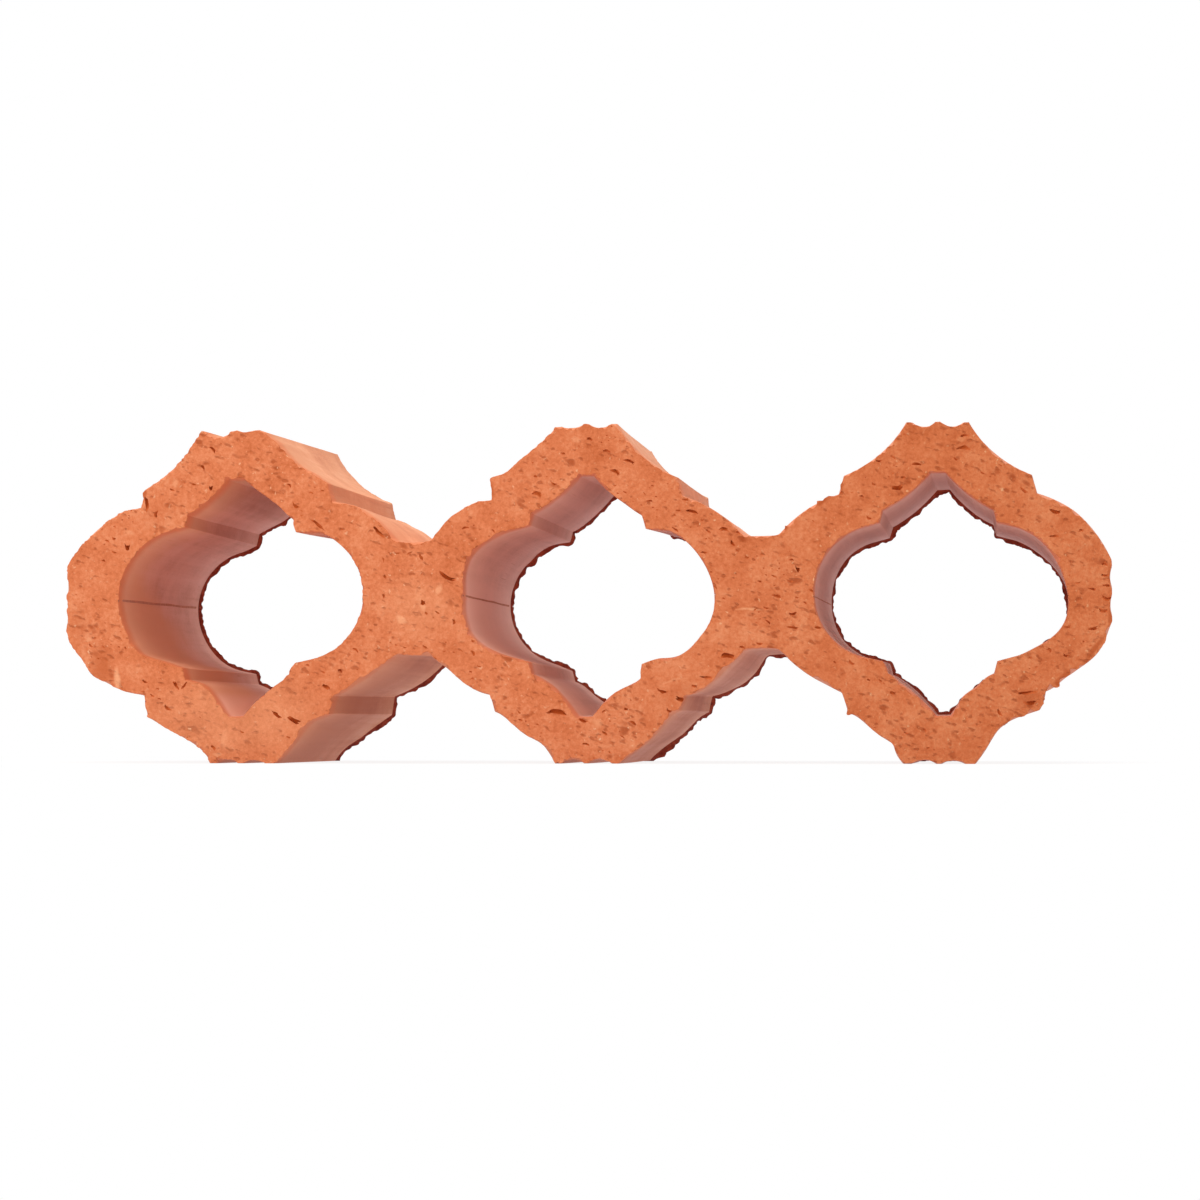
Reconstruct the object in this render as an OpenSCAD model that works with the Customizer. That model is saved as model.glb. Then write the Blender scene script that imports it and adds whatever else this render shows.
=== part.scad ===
// Fired clay screen block: a row of four-lobed cells joined by solid necks, pushed through one
// die along its depth and cut off by wire at both faces. Sizes are in millimetres. The origin
// is the middle of the bottom bed, +X runs along the row of cells, the show face looks towards
// -Y and +Z is up.

/* [Block] */
// Number of cells in the row
cell_count = 3; // [2:1:4]
// Distance between the middles of neighbouring cells
cell_pitch = 100; // [96:1:112]
// Height from the bottom bed to the top bed
block_h = 97; // [92:1:110]
// Depth from cut face to cut face
block_d = 100; // [40:5:160]

/* [Crowns] */
// Width of the flat bed on top of each crown
bed_w = 17.8; // [16:0.2:24]
// Width of a crown across the corners of its nibs
nib_w = 53; // [48:0.5:58]
// Height of the nib corners above the middle of the cell
nib_z = 33; // [31:0.5:36]
// Lean of the short step below each nib, in degrees from upright
nib_lean = 15; // [8:1:25]
// Radius of the hollow flank between the bed and the nib
flank_r = 33.5; // [26:0.5:60]

/* [Side bulges] */
// Height of the flat at each end of the row
end_h = 16.4; // [15.6:0.2:22]
// Radius of the round arcs between the nibs and the end flat
bulge_r = 36.9; // [34:0.1:42]
// How far past the middle of the cell the centre of each arc lies
bulge_drop = 7.4; // [4:0.2:10]

/* [Necks] */
// Height of the solid neck between two cells
neck_h = 32; // [24:0.5:36]
// Radius of the fillet where a neck meets a bulge
neck_r = 3; // [1:0.5:5]

/* [Walls] */
// Clay between a bed and the tip of the opening
crown_wall = 14.8; // [10:0.2:18]
// Clay between the outer nib corner and the inner one, along the row
nib_wall = 11; // [8:0.5:14]
// Clay between the outer nib corner and the inner one, upwards
nib_wall_h = 10; // [8:0.5:13]
// Clay between the end of the row and the opening
side_wall = 14.8; // [11:0.2:18]

/* [Openings] */
// Width of the blunt tip at the top and the bottom of an opening
tip_w = 4; // [2:0.5:8]
// Radius of the round hollows at the sides of an opening
hollow_r = 19; // [17:0.1:20.5]
// Slope of a hollow's roof and floor where they rise to the nibs, in degrees
hollow_rise = 15; // [8:1:22]
// Radius of the swelling between the tip and the inner nib
inner_flank_r = 36.6; // [24:0.5:60]

/* [Key grooves] */
// Width of a groove where it breaks the flat
groove_w = 6.4; // [3:0.2:7]
// Depth of a groove in a bed
groove_depth = 1.1; // [0.6:0.1:2]
// Depth of a groove in an end flat
end_groove_depth = 0.8; // [0.4:0.1:1.6]
// Distance between the middles of the two grooves of a flat
groove_pitch = 7.8; // [7.4:0.1:8.4]

/* [Hidden] */
// Fineness of the round stretches
$fn = 160;
clay = [0.85, 0.49, 0.31];
// Depth by which the roof of a hollow starts inside the hollow's arc
overlap = 0.05;

bed_z = block_h / 2;
row_l = cell_count * cell_pitch;
outer_nib = [nib_w / 2, nib_z];
// Side arcs pass through the corner of the end flat
bulge_x = cell_pitch / 2 - sqrt(pow(bulge_r, 2) - pow(end_h / 2 + bulge_drop, 2));
// Corners of the opening
tip_z = bed_z - crown_wall;
inner_nib = [nib_w / 2 - nib_wall, nib_z - nib_wall_h];
hollow_x = cell_pitch / 2 - side_wall - hollow_r;
// Where the roof of a hollow starts beside its arc, and where it ends under the nib
roof_start = [hollow_x, 0] + (hollow_r - overlap) * [sin(hollow_rise), cos(hollow_rise)];
roof_end = [inner_nib.x, roof_start.y + (roof_start.x - inner_nib.x) * tan(hollow_rise)];
// Fillet circle that rests on the neck and touches the side arc
fillet_z = neck_h / 2 + neck_r;
fillet_x = bulge_x + sqrt(pow(bulge_r + neck_r, 2) - pow(fillet_z + bulge_drop, 2));
fillet_touch = [bulge_x, -bulge_drop]
    + [fillet_x - bulge_x, fillet_z + bulge_drop] * bulge_r / (bulge_r + neck_r);

// Centre of the circle of radius r through p and q, on the left of the way from p to q
function arc_centre(p, q, r) =
    let (way = q - p, rise = sqrt(pow(r, 2) - pow(norm(way) / 2, 2)))
    (p + q) / 2 + rise * [-way.y, way.x] / norm(way);

// Radius of a round furrow that is depth deep and groove_w wide where it breaks the flat
function furrow_r(depth) = (pow(groove_w / 2, 2) + pow(depth, 2)) / (2 * depth);

// Copies children into all four quarters of a cell
module in_quarters() {
    for (side = [0, 1], half = [0, 1])
        mirror([side, 0])
            mirror([0, half])
                children();
}

// Copies children to the middle of each cell
module at_cells() {
    for (i = [0 : cell_count - 1])
        translate([(i - (cell_count - 1) / 2) * cell_pitch, 0])
            children();
}

// Upper and lower crown: a flat on top, and hollow flanks that end in nibs with leaning steps
module crowns(flat_w, flat_z, nib, r) {
    foot = nib.x + nib.y * tan(nib_lean);
    head = nib.x - (flat_z - nib.y) * tan(nib_lean);
    difference() {
        polygon([
            [foot, 0], [head, flat_z], [-head, flat_z],
            [-foot, 0], [-head, -flat_z], [head, -flat_z]
        ]);
        in_quarters()
            translate(arc_centre([flat_w / 2, flat_z], nib, r))
                circle(r);
    }
}

// Round bulge on the right side of a cell, pointed like a lens
module bulge() {
    intersection() {
        translate([bulge_x, -bulge_drop])
            circle(bulge_r);
        translate([bulge_x, bulge_drop])
            circle(bulge_r);
    }
}

// Both bulges of a cell, cut to the flat where the cell ends
module bulges() {
    intersection() {
        square([cell_pitch, block_h], center = true);
        union() {
            bulge();
            mirror([1, 0])
                bulge();
        }
    }
}

// Solid neck that joins a cell to the next, with a fillet in each root
module neck() {
    square([cell_pitch - 2 * hollow_x, neck_h], center = true);
    in_quarters()
        difference() {
            polygon([
                [cell_pitch / 2 - fillet_touch.x, fillet_touch.y],
                [cell_pitch / 2 - fillet_x, neck_h / 2],
                [cell_pitch / 2 - fillet_x, 0],
                [cell_pitch / 2 - fillet_touch.x, 0]
            ]);
            translate([cell_pitch / 2 - fillet_x, fillet_z])
                circle(neck_r);
        }
}

// Round hollow left and right of the middle, with a roof and a floor that rise to the nibs
module hollows() {
    for (side = [-1, 1])
        translate([side * hollow_x, 0])
            circle(hollow_r);
    in_quarters()
        polygon([[roof_start.x, 0], roof_start, roof_end, [roof_end.x, 0]]);
}

// Four-lobed opening of a cell
module opening() {
    crowns(tip_w, tip_z, inner_nib, inner_flank_r);
    hollows();
}

// Pair of furrows in a flat that lies on the X axis with the clay below it
module groove_pair(depth) {
    for (side = [-1, 1])
        translate([side * groove_pitch / 2, furrow_r(depth) - depth])
            circle(furrow_r(depth));
}

// Furrows in every bed and in both end flats
module key_grooves() {
    at_cells()
        for (half = [0, 1])
            mirror([0, half])
                translate([0, bed_z])
                    groove_pair(groove_depth);
    for (side = [-1, 1])
        translate([side * row_l / 2, 0])
            rotate(-90 * side)
                groove_pair(end_groove_depth);
}

// Section that the die gives, with the middle of the row at the origin
module section() {
    difference() {
        union() {
            at_cells() {
                crowns(bed_w, bed_z, outer_nib, flank_r);
                bulges();
            }
            for (i = [1 : cell_count - 1])
                translate([i * cell_pitch - row_l / 2, 0])
                    neck();
        }
        at_cells()
            opening();
        key_grooves();
    }
}

// Whole block, cut to its depth and stood on its bed
module block() {
    color(clay)
        translate([0, block_d / 2, bed_z])
            rotate([90, 0, 0])
                linear_extrude(block_d)
                    section();
}

block();
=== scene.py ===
import math
import random

import bmesh
import bpy
from mathutils import Matrix, Vector, noise


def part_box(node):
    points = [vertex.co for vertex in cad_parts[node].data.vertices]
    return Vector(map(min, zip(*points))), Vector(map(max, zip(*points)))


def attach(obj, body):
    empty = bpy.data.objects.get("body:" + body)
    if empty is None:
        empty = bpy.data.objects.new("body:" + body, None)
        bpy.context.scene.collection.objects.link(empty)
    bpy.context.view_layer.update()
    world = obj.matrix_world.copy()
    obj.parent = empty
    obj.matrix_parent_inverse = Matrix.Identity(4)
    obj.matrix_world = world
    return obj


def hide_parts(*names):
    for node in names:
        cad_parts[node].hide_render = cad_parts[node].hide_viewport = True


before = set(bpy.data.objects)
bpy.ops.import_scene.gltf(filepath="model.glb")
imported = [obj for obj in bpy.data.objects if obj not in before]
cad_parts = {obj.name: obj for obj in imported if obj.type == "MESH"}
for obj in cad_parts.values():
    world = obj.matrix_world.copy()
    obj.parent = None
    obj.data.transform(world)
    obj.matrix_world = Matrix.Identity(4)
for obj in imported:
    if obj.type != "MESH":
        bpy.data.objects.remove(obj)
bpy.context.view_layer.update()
scene = bpy.context.scene
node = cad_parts["block"]
low, high = (Vector(corner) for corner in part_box("block"))
middle = (low + high) / 2
blockDepth = high.y - low.y
mm = 0.001
hair = 0.01 * mm                      # closer than this is the same place
white = (1.0, 1.0, 1.0, 1.0)


# a colour as a picture program gives it, 0 to 255, in the linear values that shaders use
def paint(red, green, blue):
    parts = [value / 255 for value in (red, green, blue)]
    return [p / 12.92 if p < 0.04045 else ((p + 0.055) / 1.055) ** 2.4 for p in parts] + [1.0]


def deselect():
    if bpy.context.object and bpy.context.object.mode != "OBJECT":
        bpy.ops.object.mode_set(mode="OBJECT")
    bpy.ops.object.select_all(action="DESELECT")


def makeActive(piece):
    deselect()
    piece.select_set(True)
    bpy.context.view_layer.objects.active = piece


def addObject(name, data):
    piece = bpy.data.objects.new(name, data)
    scene.collection.objects.link(piece)
    return piece


# Shader maths

# a socket that can stand in a sum; the sum adds its Math nodes
class Wire:
    def __init__(self, tree, socket=None):
        self.tree = tree
        self.socket = socket

    def add(self, kind, settings=None, sockets=None, out=0):
        made = self.tree.nodes.new("ShaderNode" + kind)
        for name, value in (settings or {}).items():
            setattr(made, name, value)
        for name, value in (sockets or {}).items():
            if isinstance(value, Wire):
                self.tree.links.new(value.socket, made.inputs[name])
            else:
                made.inputs[name].default_value = value
        return Wire(self.tree, made.outputs[out])

    # another output of the same node
    def output(self, name):
        return Wire(self.tree, self.socket.node.outputs[name])

    def maths(self, operation, first, second):
        return self.add("Math", {"operation": operation}, {0: first, 1: second})

    def __add__(self, other):
        return self.maths("ADD", self, other)

    def __radd__(self, other):
        return self.maths("ADD", other, self)

    def __sub__(self, other):
        return self.maths("SUBTRACT", self, other)

    def __rsub__(self, other):
        return self.maths("SUBTRACT", other, self)

    def __mul__(self, other):
        return self.maths("MULTIPLY", self, other)

    def __rmul__(self, other):
        return self.maths("MULTIPLY", other, self)

    def larger(self, other):
        return self.maths("MAXIMUM", self, other)

    def vector(self, operation, *others, out=0):
        return self.add("VectorMath", {"operation": operation}, dict(enumerate((self, *others))), out)

    def length(self):
        return self.vector("LENGTH", out=1)

    # one axis of a place: 0 is x, 1 is y and 2 is z
    def axis(self, number):
        return self.add("SeparateXYZ", None, {0: self}, number)

    # 0 below the low value, 1 above the high one
    def step(self, lowest, highest):
        return self.add("MapRange", {"interpolation_type": "SMOOTHSTEP"},
                        {"Value": self, "From Min": lowest, "From Max": highest})

    def noise(self, scale, detail, roughness):
        return self.add("TexNoise", None,
                        {"Vector": self, "Scale": scale, "Detail": detail, "Roughness": roughness})

    def place(self, turn=(0, 0, 0), stretch=(1, 1, 1), move=(0, 0, 0)):
        return self.add("Mapping", None,
                        {"Vector": self, "Rotation": turn, "Scale": stretch, "Location": move})

    # colours along this value; each stop is a value and its colour
    def ramp(self, *stops):
        made = self.add("ValToRGB", None, {0: self})
        elements = made.socket.node.color_ramp.elements
        while len(elements) < len(stops):
            elements.new(1.0)
        for element, (value, colour) in zip(elements, stops):
            element.position = value
            element.color = colour
        return made

    # one colour where this value is 0, the other where it is 1
    def between(self, first, second):
        return self.add("Mix", {"data_type": "RGBA"}, {0: self, 6: first, 7: second}, out=2)

    # this colour, covered by another where the mask is 1
    def cover(self, mask, colour, blend="MIX"):
        return self.add("Mix", {"data_type": "RGBA", "blend_type": blend, "clamp_result": True},
                        {0: mask, 6: self, 7: colour}, out=2)


def startMaterial(name, shine=0.25):
    material = bpy.data.materials.new(name)
    material.use_nodes = True
    tree = material.node_tree
    shader = tree.nodes["Principled BSDF"]
    shader.inputs["Specular IOR Level"].default_value = shine
    return material, shader, Wire(tree).add("TexCoord", out=3)


def finishMaterial(shader, colour, roughness, height, depth):
    bump = colour.add("Bump", None, {"Height": height, "Strength": 1.0, "Distance": depth})
    links = colour.tree.links
    links.new(colour.socket, shader.inputs["Base Color"])
    links.new(roughness.socket, shader.inputs["Roughness"])
    links.new(bump.socket, shader.inputs["Normal"])


# a middling value, made lighter and darker by noises, each by its share
def mottled(noises, shares):
    shade = 0.5
    for part, share in zip(noises, shares):
        shade = shade + (part - 0.5) * share
    return shade


# the relief that several masks make together; a share below 0 lies lower
def relief(masks, shares):
    height = masks[0] * shares[0]
    for mask, share in zip(masks[1:], shares[1:]):
        height = height + mask * share
    return height


# an even level, and how much more of it there is where the mask is 1
def level(levels, mask):
    even, more = levels
    return even + mask * more


# Fired clay, as the wire leaves it on the two cut faces
cutLook = {
    "deep": paint(189, 91, 44),
    "clay": paint(218, 122, 76),
    "pale": paint(239, 156, 110),
    "fleck": paint(165, 70, 26),
    "lime": paint(250, 192, 146),
    "smear": paint(244, 168, 120),
    "rightShade": (0.87, 0.80, 0.69, 1.0),  # painted shade: the right end is darker, away from the light on the left
    "rightShadeRange": (low.x * 0.27, high.x * 0.8),
    "drag": math.radians(-19),        # the wire drags downhill to the right
    "dragStretch": (0.55, 1.0, 1.0),
    "relief": 0.5 * mm,
    # noises: how fine they are, their detail and their roughness
    "broad": (13, 2, 0.5),
    "patches": (120, 3, 0.62),
    "grain": (900, 3, 0.7),
    "crowd": (55, 1, 0.5),            # where flecks and lime are thicker
    "small": (700, 1, 0.5),
    "long": (340, 1, 0.5),
    "grog": (640, 2, 0.5),
    # the values between which their spots come up
    "crowdRange": (0.35, 0.75),
    "smallRange": (0.62, 0.76),
    "longRange": (0.66, 0.80),
    "grogRange": (0.64, 0.74),
    "shares": (0.25, 0.65, 0.65),     # of the broad noise, the patches and the grain
    "stops": (0.22, 0.50, 0.80),      # where deep, clay and pale stand on that mottle
    "crowding": (0.07, 0.06),         # small and long flecks come up more easily where it is thick
    "smallLevel": 0.8,
    "fleckLevel": 0.75,
    "limeLevels": (0.3, 0.5),         # levels are even, and how much more in some places
    "placeLevels": (0.6, 0.6),
    "roughness": (0.90, 0.08),
    "reliefShares": (0.5, 0.5, -0.5, 0.15),   # of the grain, the patches, the flecks and the lime
    "wander": 3 * mm,                 # how raggedly the smears, the painted highlight, the redder places and the painted shade end
    # pale smears of the show face, the first one a painted highlight on the lit side of a fold, in mm:
    # x, z, half length, half width, turn and strength
    "smearsAndHighlight": (
        (-135, 24, 4.5, 1.3, 90, 0.9), (-103, 7.5, 5.5, 1.4, -85, 0.5), (-47, 45, 15, 12, 0, 0.22),
        (-51.5, 41, 2.4, 1.6, 30, 0.8), (-41, 49.5, 1.3, 2.8, 20, 0.7), (-45.5, 44.5, 1.2, 1.6, 0, 0.7),
        (-118, 81, 1.0, 1.6, 0, 0.5), (-131.5, 67, 2.4, 0.8, 20, 0.4),
        (-143, 35.5, 1.2, 1.0, 0, 0.5),
        (-105.5, 2.5, 2.0, 0.9, 0, 0.6), (-100, 14, 34, 18, 0, 0.3), (48, 43.5, 5.0, 0.5, 0, 0.8),
        (5, 11.5, 2.0, 1.4, 0, 0.5), (-1, 92, 1.6, 1.2, 0, 0.4), (108, 91.5, 1.8, 0.9, 0, 0.4),
        (26, 23.5, 6.0, 0.5, -10, 0.4),
    ),
    # and its redder places, with painted shade: the first one beside that fold, the last ones along
    # edges and crumbs that turn away from the light
    "redderAndShaded": (
        (-139.5, 28, 4.5, 9, 0, 0.55), (-146, 40, 4, 8, 0, 0.3), (-122, 72, 9, 5, -30, 0.25),
        (127, 18, 5, 4, 0, 0.4), (28, 20, 9, 4, -20, 0.3), (109, 90, 3.5, 3, 0, 0.35),
        (137, 24.5, 6, 1.1, -35, 0.9), (145.5, 32.5, 6, 1.1, -52, 0.9), (121.5, 11.6, 5, 1, -27, 0.8),
        (149.6, 42, 1, 6, 0, 0.8), (149.6, 53, 1, 4, 0, 0.8), (-25.5, 78, 1, 3.2, 0, 0.8),
        (74.5, 78.5, 1, 3, 0, 0.8), (58.5, 67, 1.3, 1, 0, 1), (69, 74.3, 3, 1.2, -30, 1),
        (135, 22.5, 1.4, 1, 0, 1), (-127, 78, 1, 3, 0, 0.9), (-110, 72.5, 8, 1, -22, 0.7),
    ),
    "smearDepth": 30 * mm,            # they lie on the front and not on the back
}

spotCore = 0.25                       # share of a soft spot that has its full strength


# soft spots, listed one by one: 1 in the middle, fading to 0 at the rim
def spots(coords, places, reach):
    mask = None
    for x, z, length, width, turn, strength in places:
        spot = coords.add("Mapping", {"vector_type": "TEXTURE"},
                          {"Vector": coords, "Location": (x * mm, low.y, z * mm),
                           "Rotation": (0, math.radians(turn), 0),
                           "Scale": (length * mm, reach, width * mm)})
        near = (1 - spot.length().step(spotCore, 1.0)) * strength
        mask = near if mask is None else mask.larger(near)
    return mask


def cutClay():
    material, shader, coords = startMaterial("cutClay")
    broad = coords.noise(*cutLook["broad"])
    patches = coords.noise(*cutLook["patches"])
    grain = coords.noise(*cutLook["grain"])
    shade = mottled((broad, patches, grain), cutLook["shares"])
    base = shade.ramp(*zip(cutLook["stops"], (cutLook["deep"], cutLook["clay"], cutLook["pale"])))
    # small torn flecks, drawn out along the drag of the wire and thicker in some places
    drag = coords.place(turn=(0, cutLook["drag"], 0)).place(stretch=cutLook["dragStretch"])
    crowd = coords.noise(*cutLook["crowd"]).step(*cutLook["crowdRange"])
    moreSmall, moreLong = cutLook["crowding"]
    small = (drag.noise(*cutLook["small"]) + crowd * moreSmall).step(*cutLook["smallRange"])
    long = (drag.noise(*cutLook["long"]) + crowd * moreLong).step(*cutLook["longRange"])
    torn = (small * cutLook["smallLevel"]).larger(long)
    base = base.cover(torn * cutLook["fleckLevel"], cutLook["fleck"])
    # pale grains of lime and grog
    grog = coords.noise(*cutLook["grog"]).step(*cutLook["grogRange"])
    base = base.cover(grog * level(cutLook["limeLevels"], crowd), cutLook["lime"])
    # redder places and painted shade, paler smears and a painted highlight, with rims that wander both
    # ways
    wander = cutLook["wander"]
    back = coords.place(move=(-wander / 2, 0, -wander / 2))
    wavy = patches.output("Color").vector("MULTIPLY_ADD", (wander, 0, wander), back)
    uneven = level(cutLook["placeLevels"], grain)
    # redder places, and painted shade beside the fold and along edges
    redderAndShaded = spots(wavy, cutLook["redderAndShaded"], cutLook["smearDepth"])
    base = base.cover(redderAndShaded * uneven, cutLook["deep"])
    # pale smears, and a painted highlight along a fold
    smearsAndHighlight = spots(wavy, cutLook["smearsAndHighlight"], cutLook["smearDepth"])
    base = base.cover(smearsAndHighlight * uneven, cutLook["smear"])
    # painted shade, darker towards the right end
    rightShade = coords.axis(0).step(*cutLook["rightShadeRange"])
    base = base.cover(rightShade, cutLook["rightShade"], "MULTIPLY")
    height = relief((grain, patches, torn, grog), cutLook["reliefShares"])
    finishMaterial(shader, base, level(cutLook["roughness"], grain), height, cutLook["relief"])
    return material


# The smooth skin that the die leaves on every side that runs along the depth
skinLook = {
    "outerSkin": {
        "tones": (paint(217, 140, 100), paint(233, 161, 119), paint(244, 179, 140)),
        "near": paint(227, 153, 111),  # painted warm bounce light towards the front, less grey
        "greySheenFrom": low.x * 0.2,
        "inner": 0.0,
    },
    "innerSkin": {
        # inside the openings the same skin is painted greyer and bluer for the cool light there, and
        # paler to make up for their shade
        "tones": (paint(210, 146, 121), paint(230, 167, 143), paint(241, 182, 160)),
        "near": paint(235, 163, 121),
        "greySheenFrom": low.x * 1.5,
        "inner": 1.0,                  # 1 inside the openings
    },
    "greySheen": paint(222, 182, 168),      # painted reflection: a grey sheen, thicker towards the right end
    "greySheenTo": high.x * 1.3,
    "scratch": paint(196, 116, 84),
    "nearFrom": 4 * mm,
    "nearTo": 42 * mm,
    "nearLower": 45 * mm,              # low down at the left the painted bounce light reaches further back
    "rightRange": (low.x * 0.8, high.x * 0.15),
    "upperRange": (high.z * 0.4, high.z * 0.6),
    "nib": (0.74, 0.62, 0.55, 1.0),    # painted shade: the short steps at the nibs face away from the light
    # painted light and painted shade at places inside the cells, laid out like the smears of the cut
    # clay
    "light": paint(255, 200, 176),
    "lightPlaces": ((-30, 42, 20, 22, 0, 0.75), (-103, 16, 9, 7, 0, 0.7)),
    "dark": (0.72, 0.66, 0.60, 1.0),
    "paintedShadePlaces": ((-105, 79, 11, 8, 50, 0.5), (-99, 82, 6, 4, 0, 0.6)),
    "placeDepth": 200 * mm,
    "smear": paint(222, 118, 70),      # cut clay that the wire smeared round the front edge
    "smearFrom": 0.5 * mm,
    "smearTo": 9 * mm,
    "lineStretch": (1.0, 0.03, 1.0),   # lines and scratches run along the depth
    "scratchStretch": (1.0, 0.012, 1.0),
    "relief": 0.22 * mm,
    # noises: how fine they are, their detail and their roughness
    "broad": (22, 2, 0.5),
    "lines": (700, 2, 0.6),
    "wide": (150, 2, 0.5),
    "grain": (1000, 3, 0.7),
    "blotch": (75, 3, 0.6),
    "scratches": (1500, 1, 0.5),
    "pores": (1250, 1, 0.5),
    # the values between which their spots come up
    "scratchRange": (0.70, 0.80),
    "blotchRange": (0.5, 0.62),
    "poreRange": (0.72, 0.80),
    "shares": (0.6, 0.6, 0.4, 0.45, 0.75),    # broad noise, wide lines, lines, grain, blotches
    "stops": (0.22, 0.50, 0.78),       # where the three tones stand on that mottle
    "scratchLevel": 0.6,
    "poreLevel": 0.45,
    "greySheenLevels": (0.35, 0.5),         # levels are even, and how much more in some places
    "nearLevels": (0.15, 0.75),
    "nibLevels": (0.6, 0.25),
    "nibInside": (0.25, 0.2),          # and by how much less inside the openings
    "smearLevels": (0.55, 0.3),
    "roughness": (0.74, 0.2),
    # shares of the lines, wide lines, grain, blotches, scratches and pores
    "reliefShares": (0.4, 0.3, 0.5, 0.4, -0.4, -0.8),
}


def dieSkin(name):
    look = skinLook[name]
    material, shader, coords = startMaterial(name)
    along = coords.place(stretch=skinLook["lineStretch"])
    broad = coords.noise(*skinLook["broad"])
    wide = along.noise(*skinLook["wide"])
    lines = along.noise(*skinLook["lines"])
    grain = coords.noise(*skinLook["grain"])
    blotch = coords.noise(*skinLook["blotch"])
    shade = mottled((broad, wide, lines, grain, blotch), skinLook["shares"])
    base = shade.ramp(*zip(skinLook["stops"], look["tones"]))
    # scratches in some places, pores everywhere
    scratches = coords.place(stretch=skinLook["scratchStretch"]).noise(*skinLook["scratches"])
    scratches = scratches.step(*skinLook["scratchRange"]) * blotch.step(*skinLook["blotchRange"])
    base = base.cover(scratches * skinLook["scratchLevel"], skinLook["scratch"])
    pores = coords.noise(*skinLook["pores"]).step(*skinLook["poreRange"])
    base = base.cover(pores * skinLook["poreLevel"], skinLook["scratch"])
    # painted reflection: a grey sheen that thickens towards the right end
    greySheen = coords.axis(0).step(look["greySheenFrom"], skinLook["greySheenTo"])
    base = base.cover(greySheen * level(skinLook["greySheenLevels"], broad), skinLook["greySheen"])
    # painted warm bounce light towards the front, over the painted grey sheen, up to a frayed line
    behind = coords.axis(1) - low.y
    frayed = behind + (blotch - 0.5) * skinLook["smearTo"] + (broad - 0.5) * skinLook["smearTo"]
    left = 1 - coords.axis(0).step(*skinLook["rightRange"])
    below = 1 - coords.axis(2).step(*skinLook["upperRange"])
    longer = frayed - below * left * skinLook["nearLower"]
    warm = 1 - longer.step(skinLook["nearFrom"], skinLook["nearTo"])
    base = base.cover(warm * level(skinLook["nearLevels"], left), look["near"])
    # painted shade on the short steps below the nibs
    nibStep = coords.add("Attribute", {"attribute_name": "nibStep"}, out=2)
    soft = level(skinLook["nibLevels"], left) - look["inner"] * level(skinLook["nibInside"], below)
    base = base.cover(nibStep * soft, skinLook["nib"], "MULTIPLY")
    # painted light inside the openings
    light = spots(coords, skinLook["lightPlaces"], skinLook["placeDepth"])
    base = base.cover(light * look["inner"], skinLook["light"])
    # painted shade under the tip of the first cell
    dark = spots(coords, skinLook["paintedShadePlaces"], skinLook["placeDepth"])
    base = base.cover(dark * look["inner"], skinLook["dark"], "MULTIPLY")
    smear = 1 - frayed.step(skinLook["smearFrom"], skinLook["smearTo"])
    base = base.cover(smear * level(skinLook["smearLevels"], look["inner"]), skinLook["smear"])
    height = relief((lines, wide, grain, blotch, scratches, pores), skinLook["reliefShares"])
    finishMaterial(shader, base, level(skinLook["roughness"], broad), height, skinLook["relief"])
    return material


# Torn clay: clay colour at the rim of a pit, browner towards its bottom: partly the torn clay's own
# colour, partly painted shade deeper in the pit
pitClayLook = {
    "rim": paint(205, 101, 50),
    "bottom": paint(170, 69, 18),
    "rough": (700, 3, 0.65),          # how fine its noise is, its detail and its roughness
    "pitShadeFrom": 0.05 * mm,
    "pitShadeTo": 0.55 * mm,
    "pitShadeWander": 0.44 * mm,
    "roughness": (0.92, 0.06),
    "relief": 0.4 * mm,
}


def pitClay():
    material, shader, coords = startMaterial("pitClay")
    rough = coords.noise(*pitClayLook["rough"])
    across = coords.axis(1)
    depth = high.y - across.larger(0 - across)
    depth = depth + (rough - 0.5) * pitClayLook["pitShadeWander"]
    # darker with depth: partly the torn clay's own brown and partly painted shade in the pit
    dark = depth.step(pitClayLook["pitShadeFrom"], pitClayLook["pitShadeTo"])
    base = dark.ramp((0.0, pitClayLook["rim"]), (1.0, pitClayLook["bottom"]))
    finishMaterial(shader, base, level(pitClayLook["roughness"], rough), rough, pitClayLook["relief"])
    return material


# Rough clay: the lip that the wire leaves round the back, and the bottom of the seams. The lip's dark
# red-brown is partly torn clay and partly painted shade.
roughLook = {
    "lipClay": {"dark": paint(124, 42, 24), "pale": paint(172, 76, 48), "relief": 0.5 * mm},
    # the seams are darker than the skin: painted shade in their crease
    "seamClay": {"dark": paint(190, 119, 92), "pale": paint(208, 137, 108), "relief": 0.1 * mm},
    "rough": (520, 3, 0.65),
    "roughness": (0.92, 0.06),
    "stops": (0.35, 0.65),            # where the dark and the pale clay stand on that noise
}


def roughClay(name):
    look = roughLook[name]
    material, shader, coords = startMaterial(name)
    rough = coords.noise(*roughLook["rough"])
    base = rough.ramp(*zip(roughLook["stops"], (look["dark"], look["pale"])))
    finishMaterial(shader, base, level(roughLook["roughness"], rough), rough, look["relief"])
    return material


# The block

blockShape = {
    "weld": 0.001 * mm,               # points of the CAD node that are one
    "longestStep": 0.75 * mm,
    "halvings": 6,                    # enough for the longest line to come down to that step
    "softTurn": math.radians(15),     # a sharper turn is a real corner of the die
    "cornerRadius": 0.5 * mm,
    "cornerReach": 0.45,              # share of a short side that a corner may take
    "nibsFrom": 15 * mm,              # how far above and below the middle the nibs begin
    "steep": 0.9,                     # and how nearly upright their short steps are
    "underside": 0.25,                # outer sides that face down more than this have a full lip
    "topLip": 0.25,                   # and the others have this share of it
    # mm behind the front at which the walls have a row of points
    "frontRows": (0.0, 0.25, 0.8, 2.0),
    "middleRows": (20, 40, 60, 80),
    "backRows": (97.4, 98.7, 99.4, 100.0),
    "smoothBelow": math.radians(32),  # a sharper edge stays sharp
}

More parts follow.
